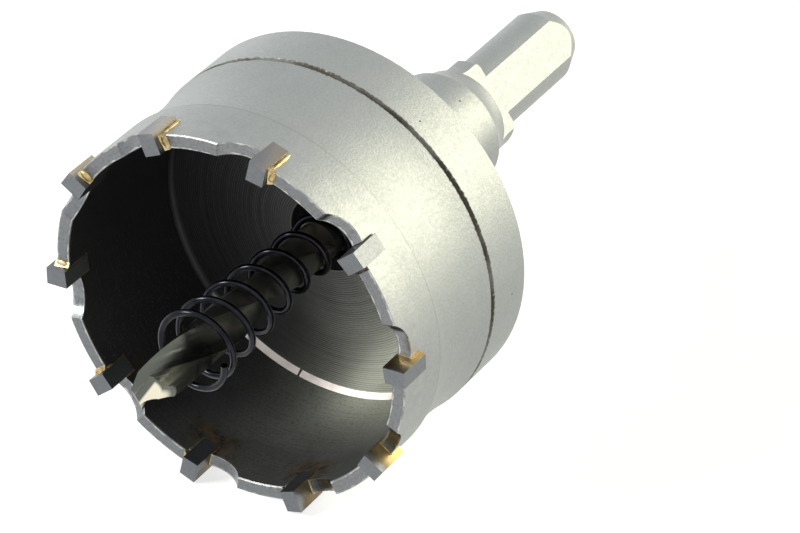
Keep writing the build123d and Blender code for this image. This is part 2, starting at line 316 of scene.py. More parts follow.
class ShaderSheet(NodeSheet):
    """One material of the saw, with places in millimetres from the saw's axis and rim."""

    def __init__(self, name: str, places: SawPlaces) -> None:
        """Start a material with its coordinates.

        Args:
            name: The material's name.
            places: The saw's places.
        """
        super().__init__(bpy.data.materials.new(name))
        self.places = places
        coordinates = self.node("ShaderNodeTexCoord")
        sockets = {"Vector": coordinates.outputs["Object"], "Scale": (1 / MM,) * 3,
                   "Location": (0.0, -places.rim, -places.axis_height)}
        self.place = self.node("ShaderNodeMapping", {}, sockets).outputs["Vector"]
        axes = self.node("ShaderNodeSeparateXYZ", {}, {"Vector": self.place})
        self.across, self.along, self.height = (Signal(self, axes.outputs[name]) for name in "XYZ")
        self.radius = (self.across ** 2.0 + self.height ** 2.0) ** 0.5

    def tooth_offset(self) -> Signal:
        """Distance round the ring from the middle of the nearest tooth.

        Returns:
            The distance in millimetres, below 0 on the tooth's leading side.
        """
        share = (0.0 - self.height).turn_from(self.across) * (1 / TOOTH_ANGLE) + MIDDLE
        return (share.fraction() - MIDDLE) * TOOTH_ANGLE * self.radius

    def towards(self, direction: Pair) -> Signal:
        """Distance from the axis towards a side of the saw.

        Args:
            direction: Share to the right and share downwards.

        Returns:
            The distance in millimetres.
        """
        right, down = direction
        return self.across * right - self.height * down

    def blend(self, share: Number, first: Feed, second: Feed) -> NodeSocket:
        """Mix two colours.

        Args:
            share: Share of the second colour, from 0 to 1.
            first: Colour where the share is 0.
            second: Colour where the share is 1.

        Returns:
            The mixed colour.
        """
        sockets = {"Factor_Float": share, "A_Color": first, "B_Color": second}
        made = self.node("ShaderNodeMix", {"data_type": "RGBA"}, sockets)
        return next(socket for socket in made.outputs if socket.identifier == "Result_Color")

    def grain(self, grain: Grain) -> Signal:
        """Even noise all over the piece, from 0 to 1."""
        sockets = {"Scale": 1 / grain.size, "Detail": grain.detail, "Distortion": grain.warp}
        return self.value("ShaderNodeTexNoise", {}, {"Vector": self.place, **sockets})

    def specks(self, spacing: float, size: float) -> Signal:
        """Small round spots scattered over the piece.

        Args:
            spacing: Distance between spots, in millimetres.
            size: Radius of a spot, as a share of the spacing.

        Returns:
            1 inside a spot and 0 elsewhere.
        """
        sockets = {"Vector": self.place, "Scale": 1 / spacing}
        distance = self.value("ShaderNodeTexVoronoi", {}, sockets, "Distance")
        return distance.rise(Step(size, size / 2))

    def lines(self, across: Number, pitch: float, wander: float = 0.0) -> Signal:
        """Fine lines that follow a tool's path.

        Args:
            across: Distance across the lines, in millimetres.
            pitch: Width of a line, in millimetres.
            wander: How far the lines wander, in millimetres.

        Returns:
            The lines' height, from 0 to 1.
        """
        if wander:
            across = across + self.grain(WANDER).swing(wander)
        sockets = {"W": across, "Scale": 1 / pitch, "Detail": LINE_DETAIL}
        return self.value("ShaderNodeTexNoise", {"noise_dimensions": "1D"}, sockets)

    def finish(self, colour: Feed, metallic: Feed, roughness: Feed, height: Number, depth: float,
               **constants: float) -> Material:
        """Join the surface to the material's output.

        Args:
            colour: Base colour.
            metallic: How metallic it is.
            roughness: How rough it is.
            height: Height of its relief, from 0 to 1.
            depth: Depth of the relief, in millimetres.
            constants: Values of other sockets, with underscores for spaces.

        Returns:
            The finished material.
        """
        relief = self.node("ShaderNodeBump", {}, {"Height": height, "Distance": depth * MM})
        sockets = {"Base Color": colour, "Metallic": metallic, "Roughness": roughness,
                   "Normal": relief.outputs["Normal"]}
        sockets.update({name.replace("_", " "): value for name, value in constants.items()})
        self.close("ShaderNodeBsdfPrincipled", "ShaderNodeOutputMaterial", sockets)
        return self.owner

    def finish_by(self, surface: Surface, colour: Feed, pattern: Signal,
                  **constants: float) -> Material:
        """Finish a surface whose roughness and relief follow one pattern."""
        rough = pattern.swing(surface.swing) + surface.roughness
        return self.finish(colour, surface.metallic, rough, pattern, surface.relief, **constants)


@dataclass(frozen=True)
class Pit:
    """One small pit in a turned surface, in millimetres and in degrees down from the right."""

    radius: float
    angle: float
    along: float
    size: float
    ragged: Grain = Grain(0.35, 2.0)
    core: float = 0.6

    def share_of(self, sheet: ShaderSheet) -> Signal:
        """Share that is 1 inside the pit and 0 elsewhere.

        Args:
            sheet: The material.

        Returns:
            The share.
        """
        turn = radians(self.angle)
        centre = (self.radius * cos(turn), self.along, -self.radius * sin(turn))
        away = sheet.value("ShaderNodeVectorMath", {"operation": "DISTANCE"},
                           {0: sheet.place, 1: centre}, "Value")
        away = away + sheet.grain(self.ragged).swing(self.size)
        return away.rise(Step(self.size, self.size * self.core))


@dataclass(frozen=True)
class BlastedSteel:
    """Satin steel blasted with fine grit, on the outside of the saw."""

    colour: Colour = display(0.635, 0.65, 0.645)
    shade: Colour = display(0.595, 0.612, 0.61)
    speck: Colour = display(0.27, 0.26, 0.245)
    patches: Grain = Grain(3.0, 5.0)
    grit: Grain = Grain(0.36, 2.0)
    coarse_grit: Grain = Grain(0.936, 2.0)
    polish: Grain = Grain(0.72)
    mottle: Step = Step(0.3, 0.75)
    patch_share: float = 0.3
    grit_relief: float = 0.65
    speck_spacing: float = 7.5
    speck_size: float = 0.02
    roughness: float = 0.51
    swing: float = 0.16
    relief: float = 0.052
    pits: Tuple[Pit, ...] = (Pit(9.4, -56.8, 53.9, 0.2), Pit(29.1, -52.7, 25.0, 0.16),
                             Pit(29.1, 7.0, 27.8, 0.17), Pit(28.5, -3.1, 9.3, 0.16))

    def colour_of(self, sheet: ShaderSheet) -> NodeSocket:
        """Colour of the steel, with faint mottling and a few dark specks.

        Args:
            sheet: The material.

        Returns:
            The colour.
        """
        patches = sheet.grain(self.patches).rise(self.mottle) * self.patch_share
        mottle = patches + sheet.grain(self.grit).rise(self.mottle) * (1.0 - self.patch_share)
        plain = sheet.blend(mottle, self.colour, self.shade)
        dark = sheet.specks(self.speck_spacing, self.speck_size)
        for pit in self.pits:
            dark = dark.larger(pit.share_of(sheet))
        return sheet.blend(dark, plain, self.speck)

    def roughness_of(self, sheet: ShaderSheet) -> Signal:
        """Roughness that varies a little with the grit."""
        return sheet.grain(self.polish).swing(self.swing) + self.roughness

    def height_of(self, sheet: ShaderSheet) -> Signal:
        """Height of the blasted grain."""
        coarse = sheet.grain(self.coarse_grit) * (1.0 - self.grit_relief)
        return sheet.grain(self.grit) * self.grit_relief + coarse


@dataclass(frozen=True)
class DarkCup:
    """Dark turned steel inside the cup, with painted light towards its deep lower right and painted
    shade towards its upper left.
    """

    colour: Colour = display(0.52, 0.53, 0.52)
    shade: Colour = display(0.46, 0.47, 0.46)
    # Painted light: paler colour laid deep in the cup towards its lower right.
    pale: Colour = display(0.76, 0.77, 0.73)
    groove: Colour = display(0.22, 0.225, 0.22)
    # Painted shade: darker colour laid across the cup towards its upper left.
    oxide: Colour = display(0.24, 0.242, 0.252)
    clouds: Grain = Grain(6.0, 4.0)
    cloud_step: Step = Step(0.3, 0.7)
    speckle: Grain = Grain(0.3, 2.0)
    pitch: float = 0.36
    rough_pitch: float = 0.792
    wander: float = 0.1
    wall_line_share: float = 0.3
    floor_ring_share: float = 0.35
    # Direction towards the cup's lit lower right, used for its painted light and painted shade.
    painted_light_side: Pair = (0.85, 0.5)
    side_clouds: Grain = Grain(9.0, 2.0)
    side_swing: float = 6.0
    painted_light_depth: Step = Step(6.0, 24.0)
    painted_light_step: Step = Step(0.0, 18.0)
    painted_shade_step: Step = Step(16.0, -14.0)
    ridge: Step = Step(0.52, 0.72)
    ridge_sides: Tuple[Step, Step] = (Step(8.0, -6.0), Step(-34.0, -12.0))
    ridge_share: float = 0.5
    groove_step: Step = Step(0.58, 0.3)
    groove_share: float = 0.42
    metallic: float = 0.6
    smoother: float = 0.15

    def marks(self, sheet: ShaderSheet, face: CupFace) -> Signal:
        """Turning marks: rings over the floor, fainter rings along the wall.

        Args:
            sheet: The material.
            face: The face that carries them.

        Returns:
            Height of the marks, from 0 to 1.
        """
        speckle = sheet.grain(self.speckle)
        if face is CupFace.WALL:
            lines = sheet.lines(sheet.along, self.pitch, self.wander) * self.wall_line_share
            return lines + speckle * (1.0 - self.wall_line_share)
        turn = (sheet.radius / self.pitch).fraction()
        rings = (turn - MIDDLE).size().rise(Step(0.0, MIDDLE)) * self.floor_ring_share
        lines = sheet.lines(sheet.radius, self.rough_pitch, self.wander) * self.floor_ring_share
        return rings + lines + speckle * (1.0 - 2.0 * self.floor_ring_share)

    def colour_of(self, sheet: ShaderSheet, marks: Signal) -> NodeSocket:
        """Colour of the dark steel, with painted light towards its deep lower right and painted
        shade towards its upper left.

        Args:
            sheet: The material.
            marks: Height of its turning marks.

        Returns:
            The colour.
        """
        plain = sheet.blend(sheet.grain(self.clouds).rise(self.cloud_step), self.colour, self.shade)
        side = sheet.towards(self.painted_light_side) + sheet.grain(self.side_clouds).swing(self.side_swing)
        # Painted light: the deep lower-right wall and floor turn paler.
        pale = sheet.along.rise(self.painted_light_depth) * side.rise(self.painted_light_step)
        plain = sheet.blend(pale, plain, self.pale)
        # Painted shade: the cup darkens towards its upper left.
        plain = sheet.blend(side.rise(self.painted_shade_step), plain, self.oxide)
        start, end = self.ridge_sides
        ridges = marks.rise(self.ridge) * side.rise(start) * side.rise(end) * self.ridge_share
        plain = sheet.blend(ridges, plain, self.shade)
        return sheet.blend(marks.rise(self.groove_step) * self.groove_share, plain, self.groove)


@dataclass(frozen=True)
class HeatStain:
    """Brown stain that the heat of brazing leaves inside the lower wall, behind the teeth."""

    char: Colour = display(0.15, 0.13, 0.105)
    stain: Colour = display(0.58, 0.45, 0.26)
    tone: Grain = Grain(1.6, 4.0, 0.5)
    tone_step: Step = Step(0.3, 0.75)
    ragged: Grain = Grain(1.6, 4.0, 0.6)
    raggedness: float = 5.0
    depth: float = 4.6
    depth_raggedness: float = 0.5
    reach_step: Step = Step(6.0, 1.6)
    depth_step: Step = Step(3.6, 0.8)
    streaks: Grain = Grain(0.55, 4.0)
    streak_step: Step = Step(0.38, 0.62)
    least_share: float = 0.4
    streak_share: float = 0.5
    low_step: Step = Step(14.0, 22.0)

    def colour_of(self, sheet: ShaderSheet) -> NodeSocket:
        """Colour of the stain."""
        return sheet.blend(sheet.grain(self.tone).rise(self.tone_step), self.char, self.stain)

    def share_of(self, sheet: ShaderSheet) -> Signal:
        """Share of stain at a point.

        Args:
            sheet: The material.

        Returns:
            The share, from 0 to 1.
        """
        ragged = sheet.grain(self.ragged).swing(self.raggedness)
        reach = sheet.tooth_offset().size() + ragged
        depth = (sheet.along - self.depth).size() + ragged * self.depth_raggedness
        streaks = sheet.grain(self.streaks).rise(self.streak_step) * self.streak_share
        low = (0.0 - sheet.height).rise(self.low_step)
        place = reach.rise(self.reach_step) * depth.rise(self.depth_step)
        return place * (streaks + self.least_share) * low


@dataclass(frozen=True)
class SeamShade:
    """Painted shade: a dark ragged line along the groove between the ring and the head."""

    # Colour of the painted shade in the seam groove.
    colour: Colour = display(0.38, 0.365, 0.32)
    half_width: float = 0.6
    core: float = 0.55
    ragged: Grain = Grain(0.5, 4.0)
    raggedness: float = 0.8
    shade_patches: Grain = Grain(7.0, 2.0)
    shade_patch_step: Step = Step(0.35, 0.6)
    least_shade: float = 0.55
    skin: Step = Step(-1.5, -1.0)
    rougher: float = 0.3
    duller: float = 0.6

    def share_of(self, sheet: ShaderSheet) -> Signal:
        """Share of painted shade at a point.

        Args:
            sheet: The material.

        Returns:
            The share, from 0 to 1.
        """
        away = (sheet.along - sheet.places.seam).size()
        away = away + sheet.grain(self.ragged).swing(self.raggedness)
        line = away.rise(Step(self.half_width, self.half_width * self.core))
        shade_patches = sheet.grain(self.shade_patches).rise(self.shade_patch_step) * (1.0 - self.least_shade)
        skin = sheet.radius.rise(self.skin.at(sheet.places.rim_radius))
        return line * skin * (shade_patches + self.least_shade)


@dataclass(frozen=True)
class GroundSteel:
    """Grey steel ground bright, on the rim's land and in the gullets."""

    colour: Colour = display(0.52, 0.53, 0.54)
    shade: Colour = display(0.46, 0.47, 0.48)
    # Painted highlight along the land's edges, where burrs stand.
    burr_highlight: Colour = display(0.86, 0.86, 0.85)
    pitch: float = 0.2
    wander: float = 0.3
    line_share: float = 0.35
    flecks: Grain = Grain(0.5, 4.0)
    streak_step: Step = Step(0.38, 0.66)
    ragged: Grain = Grain(0.9, 4.0)
    raggedness: float = 0.9
    outer_burr_highlight: Step = Step(-0.42, -0.22)
    inner_burr_highlight: Step = Step(0.34, 0.2)
    worn: Grain = Grain(1.7, 2.0)
    worn_step: Step = Step(0.3, 0.65)
    burr_highlight_share: float = 0.75
    smoother: float = 0.1
    gullet_smoother: float = 0.2

    def colour_of(self, sheet: ShaderSheet) -> NodeSocket:
        """Colour of the ground steel, with fine streaks and a painted highlight along its edges,
        over the burrs there.

        Args:
            sheet: The material.

        Returns:
            The colour.
        """
        lines = sheet.lines(sheet.radius, self.pitch, self.wander) * self.line_share
        streaks = lines + sheet.grain(self.flecks) * (1.0 - self.line_share)
        plain = sheet.blend(streaks.rise(self.streak_step), self.colour, self.shade)
        radius = sheet.radius + sheet.grain(self.ragged).swing(self.raggedness)
        # Painted highlight: a bright line along the outer and inner edges of the land.
        outer = radius.rise(self.outer_burr_highlight.at(sheet.places.rim_radius))
        inner = radius.rise(self.inner_burr_highlight.at(sheet.places.bore_radius))
        worn = sheet.grain(self.worn).rise(self.worn_step)
        return sheet.blend(outer.larger(inner) * worn * self.burr_highlight_share, plain, self.burr_highlight)


@dataclass(frozen=True)
class Carbide:
    """Grey carbide, gilded by braze on its leading face and hazed tan on its upper outer faces."""

    name: str = "gilded_carbide"
    colour: Colour = display(0.475, 0.49, 0.505)
    shade: Colour = display(0.445, 0.46, 0.478)
    edge: Colour = display(0.74, 0.74, 0.73)
    gold: Colour = display(0.77, 0.66, 0.43)
    olive: Colour = display(0.36, 0.31, 0.18)
    tan: Colour = display(0.66, 0.59, 0.50)
    burnt: Colour = display(0.30, 0.26, 0.19)
    mottle: Grain = Grain(0.35)
    mottle_step: Step = Step(0.35, 0.7)
    speck_spacing: float = 0.9
    speck_size: float = 0.08
    speck_share: float = 0.4
    tone: Grain = Grain(2.4, 2.0)
    tone_share: float = 0.6
    tone_slope: float = 0.16
    tone_start: float = 0.2
    tone_step: Step = Step(0.35, 0.95)
    burnt_step: Step = Step(-22.0, -26.0)
    burnt_share: float = 0.8
    film_share: float = 0.85
    film: Grain = Grain(2.2, 2.0)
    film_slope: float = 0.12
    film_step: Step = Step(0.2, 0.55)
    leading_face: Step = Step(-1.19, -1.24)
    haze_faces: Tuple[Step, Step, Step] = (Step(29.2, 29.5), Step(2.0, 12.0), Step(17.0, 12.0))
    haze_slope: float = 0.3
    haze_step: Step = Step(-0.9, 1.3)
    haze_share: float = 0.4
    surface: Surface = Surface(metallic=0.9, roughness=0.36, swing=0.2, relief=0.006)

    def dress(self, places: SawPlaces) -> Material:
        """Build the material.

        Args:
            places: The saw's places.

        Returns:
            The material.
        """
        sheet = ShaderSheet(self.name, places)
        mottle = sheet.grain(self.mottle)
        plain = sheet.blend(mottle.rise(self.mottle_step), self.colour, self.shade)
        specks = sheet.specks(self.speck_spacing, self.speck_size) * self.speck_share
        plain = sheet.blend(specks, plain, self.edge)
        outward, upward, left = self.haze_faces
        outer = sheet.radius.rise(outward) * sheet.height.rise(upward) * sheet.across.rise(left)
        offset = sheet.tooth_offset()
        fade = (offset + sheet.along * self.haze_slope).rise(self.haze_step)
        plain = sheet.blend(outer * fade * self.haze_share, plain, self.tan)
        tone = sheet.grain(self.tone) * self.tone_share + sheet.along * self.tone_slope
        tone = (tone + self.tone_start).rise(self.tone_step)
        film = sheet.blend(tone, self.olive, self.gold)
        burnt = sheet.height.rise(self.burnt_step) * self.burnt_share
        film = sheet.blend(burnt, film, self.burnt)
        patches = (sheet.grain(self.film) + sheet.along * self.film_slope).rise(self.film_step)
        share = offset.rise(self.leading_face) * patches * self.film_share
        return sheet.finish_by(self.surface, sheet.blend(share, plain, film), mottle)


@dataclass(frozen=True)
class GoldBraze:
    """Brass-coloured braze, dull where its flux was left."""

    colour: Colour = display(0.83, 0.74, 0.53)
    shade: Colour = display(0.61, 0.53, 0.37)
    pale: Colour = display(0.90, 0.85, 0.72)
    lumps: Grain = Grain(1.1, 2.0, 0.3)
    lump_step: Step = Step(0.32, 0.62)
    flux: Grain = Grain(1.5, 2.0)
    flux_step: Step = Step(0.5, 0.72)
    flux_share: float = 0.7
    surface: Surface = Surface(metallic=0.9, roughness=0.38, swing=0.3, relief=0.02)

    def dress(self, places: SawPlaces) -> Material:
        """Build the material.

        Args:
            places: The saw's places.

        Returns:
            The material.
        """
        sheet = ShaderSheet("gold_braze", places)
        lumps = sheet.grain(self.lumps)
        plain = sheet.blend(lumps.rise(self.lump_step), self.shade, self.colour)
        flux = sheet.grain(self.flux).rise(self.flux_step) * self.flux_share
        return sheet.finish_by(self.surface, sheet.blend(flux, plain, self.pale), lumps)


@dataclass(frozen=True)
class WornBlack:
    """Dark metal that is rubbed lighter in patches."""

    name: str
    colour: Colour
    wear: Colour
    patches: Grain
    wear_step: Step
    wear_share: float
    surface: Surface

    def dress(self, places: SawPlaces) -> Material:
        """Build the material.

        Args:
            places: The saw's places.

        Returns:
            The material.
        """
        sheet = ShaderSheet(self.name, places)
        patches = sheet.grain(self.patches)
        worn = patches.rise(self.wear_step) * self.wear_share
        return sheet.finish_by(self.surface, sheet.blend(worn, self.colour, self.wear), patches)


BURNT_JOINT = WornBlack("dark_joint", display(0.20, 0.17, 0.13), display(0.46, 0.42, 0.34),
                        Grain(0.7), Step(0.5, 0.75), 0.7, Surface(0.7, 0.5, 0.3, 0.02))
SCREW_STEEL = WornBlack("screw_black", display(0.17, 0.17, 0.17), display(0.42, 0.41, 0.39),
                        Grain(0.9, 4.0), Step(0.6, 0.72), 1.0, Surface(0.9, 0.4, 0.3, 0.02))


@dataclass(frozen=True)
class CornerBraze:
    """Ring of silver braze in the corner of the cup, with painted shade on its upper left that also
    darkens its edges there.
    """

    colour: Colour = display(0.93, 0.90, 0.875)
    shade: Colour = display(0.85, 0.82, 0.79)
    # Painted shade laid on the upper-left side of the ring.
    oxide: Colour = display(0.20, 0.20, 0.205)
    # Darker painted shade at the ring's edges on its shaded side, so that it looks narrower there.
    edge_shade: Colour = display(0.10, 0.10, 0.105)
    lumps: Grain = Grain(2.2, 2.0)
    lump_step: Step = Step(0.35, 0.75)
    braze_lit_side: Pair = (0.75, 0.66)
    side_clouds: Grain = Grain(5.0)
    side_swing: float = 8.0
    painted_shade_step: Step = Step(4.0, -8.0)
    leg: float = 0.75
    edge_shade_step: Step = Step(0.09, 0.195)
    surface: Surface = Surface(metallic=0.7, roughness=0.45, swing=0.15, relief=0.01)

    def dress(self, places: SawPlaces) -> Material:
        """Build the material.

        Args:
            places: The saw's places.

        Returns:
            The material.
        """
        sheet = ShaderSheet("corner_braze_silver", places)
        lumps = sheet.grain(self.lumps)
        silver = sheet.blend(lumps.rise(self.lump_step), self.colour, self.shade)
        side = sheet.towards(self.braze_lit_side)
        side = side + sheet.grain(self.side_clouds).swing(self.side_swing)
        # Painted shade: the ring turns dark towards its upper left, and darker still at its edges
        # there.
        share = side.rise(self.painted_shade_step)
        middle = places.cup_depth - self.leg / 2
        edge_shade = (sheet.along - middle).size().rise(self.edge_shade_step) * share
        colour = sheet.blend(edge_shade, sheet.blend(share, silver, self.oxide), self.edge_shade)
        return sheet.finish_by(self.surface, colour, lumps)


@dataclass(frozen=True)
class DrillSteel:
    """Black-oxide steel of the pilot drill, ground towards its point, with a painted cream
    reflection in its flute there.
    """

    black: Colour = display(0.42, 0.42, 0.415)
    brown: Colour = display(0.52, 0.50, 0.46)
    # Painted reflection: cream colour of the bright patch in the flute behind the point.
    bright: Colour = display(0.97, 0.95, 0.87)
    shade: Colour = display(0.40, 0.41, 0.385)
    clouds: Grain = Grain(3.5, 2.0)
    brown_step: Step = Step(0.4, 0.75)
    grinding_pitch: float = 0.12
    reflection_side: Pair = (0.85, 0.5)
    reflection_core: Step = Step(2.9, 2.5)
    reflection_reach: Step = Step(8.5, 6.0)
    reflection_step: Step = Step(0.15, 0.5)
    black_step: Step = Step(13.0, 20.0)
    ragged: Grain = Grain(2.5)
    raggedness: float = 3.0
    polish: Grain = Grain(0.8)
    roughness: float = 0.25
    swing: float = 0.08
    black_rougher: float = 0.15
    reflection_rougher: float = 0.3
    reflection_duller: float = 0.2
    relief: float = 0.002

    def dress(self, places: SawPlaces) -> Material:
        """Build the material.

        Args:
            places: The saw's places.

        Returns:
            The material.
        """
        sheet = ShaderSheet("drill_black_oxide", places)
        behind = sheet.along - places.drill_front
        dark = sheet.blend(sheet.grain(self.clouds).rise(self.brown_step), self.black, self.brown)
        # Painted reflection: a cream patch in the flute just behind the point, on its lower-right
        # side.
        painted_reflection = sheet.radius.rise(self.reflection_core) * behind.rise(self.reflection_reach)
        painted_reflection = painted_reflection * sheet.towards(self.reflection_side).rise(self.reflection_step)
        light = sheet.blend(painted_reflection, self.shade, self.bright)
        share = (behind + sheet.grain(self.ragged).swing(self.raggedness)).rise(self.black_step)
        roughness = sheet.grain(self.polish).swing(self.swing) + self.roughness
        roughness = roughness + share * self.black_rougher + painted_reflection * self.reflection_rougher
        metallic = 1.0 - painted_reflection * self.reflection_duller
        fine = sheet.lines(sheet.along, self.grinding_pitch)
        return sheet.finish(sheet.blend(share, light, dark), metallic, roughness, fine, self.relief)


@dataclass(frozen=True)
class SpringWire:
    """Glossy blue-black spring wire."""

    colour: Colour = display(0.13, 0.138, 0.17)
    shade: Colour = display(0.07, 0.075, 0.10)
    clouds: Grain = Grain(1.6)
    cloud_step: Step = Step(0.35, 0.65)
    drawn: Grain = Grain(0.5)
    surface: Surface = Surface(metallic=1.0, roughness=0.18, swing=0.08, relief=0.003)
    oil: float = 0.25
    oil_roughness: float = 0.08

    def dress(self, places: SawPlaces) -> Material:
        """Build the material.

        Args:
            places: The saw's places.

        Returns:
            The material.
        """
        sheet = ShaderSheet("spring_blue_black", places)
        clouds = sheet.grain(self.clouds).rise(self.cloud_step)
        colour = sheet.blend(clouds, self.colour, self.shade)
        return sheet.finish_by(self.surface, colour, sheet.grain(self.drawn),
                               Coat_Weight=self.oil, Coat_Roughness=self.oil_roughness)


class Part:
    """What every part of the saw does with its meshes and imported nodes."""

    @staticmethod
    def make(form: bmesh.types.BMesh, name: str, material: Material) -> Object:
        """Turn a finished form into an object of the scene, and free the form.

        Args:
            form: The form.
            name: The object's name.
            material: Its finish.

        Returns:
            The object, at the origin.
        """
        mesh = bpy.data.meshes.new(name)
        form.to_mesh(mesh)
        form.free()
        mesh.materials.append(material)
        made = bpy.data.objects.new(name, mesh)
        bpy.context.scene.collection.objects.link(made)
        return made

    @staticmethod
    def dress(name: str, material: Material) -> None:
        """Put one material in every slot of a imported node, which keeps its shape.

        Args:
            name: The node's name.
            material: Its new finish.
        """
        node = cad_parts[name]
        if not node.material_slots:
            node.data.materials.append(material)
        for slot in node.material_slots:
            slot.material = material
        LOG.info("dressed %s with %s", name, material.name)


@dataclass(frozen=True)
class Lump:
    """A rounded lump of braze, placed by radius, distance round and distance from the rim."""

    radius: float
    offset: float
    along: float
    half: Point


@dataclass(frozen=True)
class Bead(Part):
    """The braze that stands proud round one tip."""

    number: int
    lumps: Tuple[Lump, ...]
    ripple: float = 0.16
    ripple_size: float = 0.9
    ripple_shift: float = 7.0
    subdivisions: int = 4

    def add_lump(self, form: bmesh.types.BMesh, lump: Lump) -> None:
        """Add one rippled lump to the bead's form, in millimetres from the axis and the rim.

        Args:
            form: The bead's form.
            lump: The lump.
        """
        angle = (self.number - 1) * TOOTH_ANGLE
        outward = Vector((cos(angle), 0.0, -sin(angle)))
        trailing = Vector((-sin(angle), 0.0, -cos(angle)))
        inward = Vector((0.0, 1.0, 0.0))
        turn = Matrix((outward, trailing, inward)).transposed().to_4x4()
        centre = outward * lump.radius + trailing * lump.offset + inward * lump.along
        made = bmesh.ops.create_icosphere(form, subdivisions=self.subdivisions, radius=1.0)
        shift = Vector((self.number * self.ripple_shift, 0.0, lump.along))
        for vertex in made["verts"]:
            vertex.co *= 1.0 + self.ripple * noise.noise(vertex.co / self.ripple_size + shift)
        bmesh.ops.scale(form, vec=lump.half, verts=made["verts"])
        bmesh.ops.transform(form, matrix=Matrix.Translation(centre) @ turn, verts=made["verts"])

    def build(self, places: SawPlaces, material: Material) -> None:
        """Build the bead as one piece that rides with the saw.

        Args:
            places: The saw's places.
            material: Its finish.
        """
        form = bmesh.new()
        for lump in self.lumps:
            self.add_lump(form, lump)
        bmesh.ops.scale(form, vec=(MM, MM, MM), verts=form.verts)
        origin = (0.0, places.rim * MM, places.axis_height * MM)
        bmesh.ops.translate(form, vec=origin, verts=form.verts)
        bmesh.ops.recalc_face_normals(form, faces=form.faces)
        for face in form.faces:
            face.smooth = True
        bead = self.make(form, f"braze_bead_{self.number:02d}", material)
        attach(bead, BODY)
        LOG.info("built %s from %d lumps", bead.name, len(self.lumps))


@dataclass(frozen=True)
class PolishedCopy(Part):
    """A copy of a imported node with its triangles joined, so that it shades smoothly."""

    node: str
    slot: str
    name: str
    sharp_angle: float = 28.0
    join_distance: float = 0.002

    def build(self, material: Material) -> None:
        """Build the copy in the node's place, sharp only at its real edges.

        Args:
            material: Its finish.
        """
        form = bmesh.new()
        form.from_mesh(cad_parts[self.node].data)
        bmesh.ops.remove_doubles(form, verts=form.verts, dist=self.join_distance * MM)
        for face in form.faces:
            face.smooth = True
        for edge in form.edges:
            turn = edge.calc_face_angle(0.0)
            edge.smooth = edge.is_manifold and turn < radians(self.sharp_angle)
        piece = self.make(form, self.name, material)
        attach(piece, BODY)
        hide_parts(self.node)
        LOG.info("built %s over %s", self.name, self.node)


